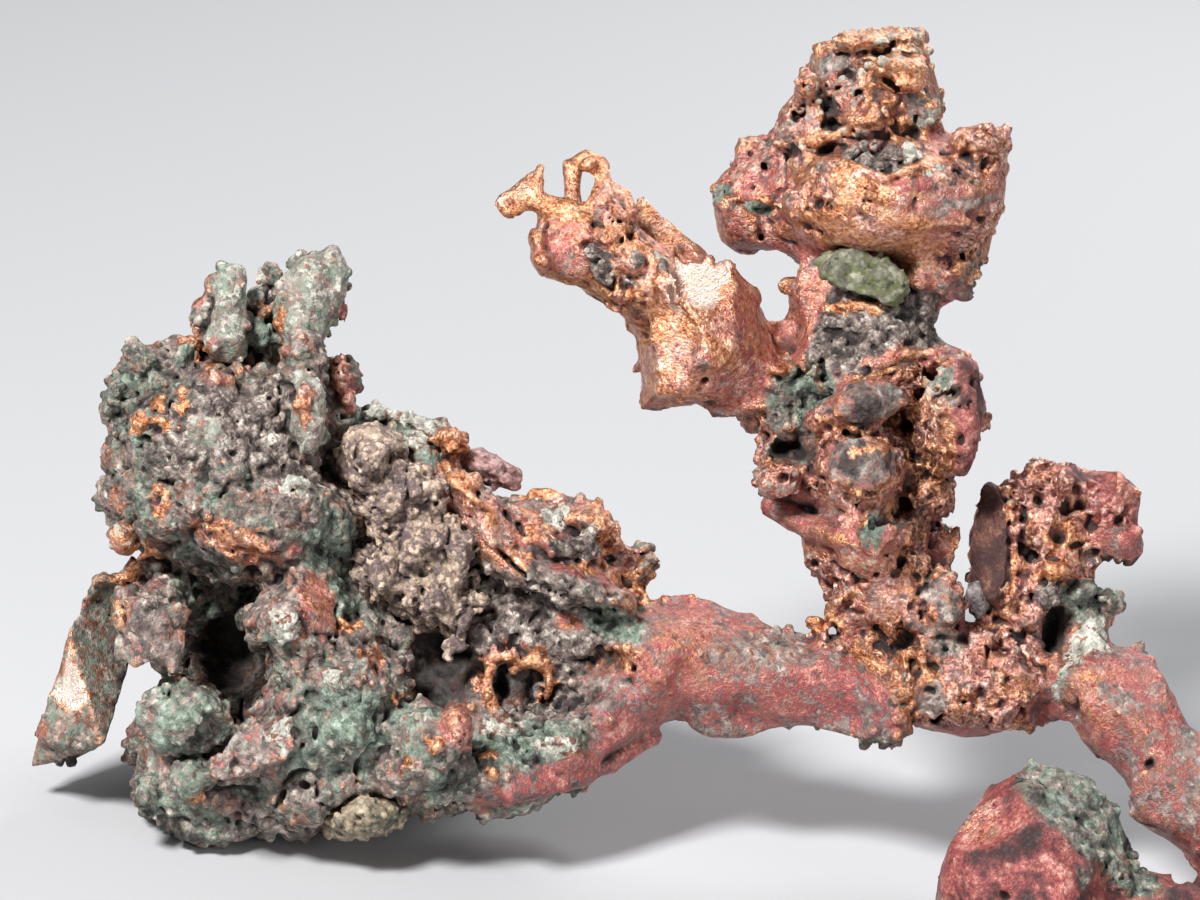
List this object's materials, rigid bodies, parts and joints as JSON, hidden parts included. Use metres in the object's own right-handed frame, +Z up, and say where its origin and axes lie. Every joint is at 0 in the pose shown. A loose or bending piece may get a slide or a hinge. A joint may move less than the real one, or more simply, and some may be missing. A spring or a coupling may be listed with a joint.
{
  "type": "native copper nugget",
  "caption": "Branching native copper nugget: a knobbly crusted head joined by a smooth bar to a pitted column with a crown, an arm, a knob and a curled limb.",
  "frame": {"origin": "middle of the bounding box, at the level of the flat feet that the nugget rests on", "axes": "+Z up, +X from the knobbly head along the bar towards the limb, +Y from the front to the back"},
  "size_m": [0.1938, 0.0894, 0.123],
  "materials": {
    "crusted_copper": "copper under a dull crust of green malachite and grey-brown granules",
    "bright_copper": "bare copper, orange to gold, pitted, with some flat bright crystal faces",
    "red_copper": "copper under a thin red-brown cuprite skin, smooth with small pits",
    "tan_rock": "porous beige-brown rock",
    "pink_rock": "dull pink-grey rock",
    "green_rock": "mottled olive-green rock",
    "grey_rock": "dark grey granular rock"
  },
  "bodies": {
    "root": {"knobbly_head": "crusted_copper", "cross_bar": "red_copper", "junction": "red_copper", "column": "red_copper", "left_arm": "bright_copper", "crown": "bright_copper", "right_knob": "red_copper", "lower_limb": "red_copper", "front_lobe": "red_copper", "matrix_rock": "tan_rock", "tan_stone": "tan_rock", "pink_stone": "pink_rock", "green_stone": "green_rock", "grey_stone": "grey_rock"}
  },
  "joints": []
}
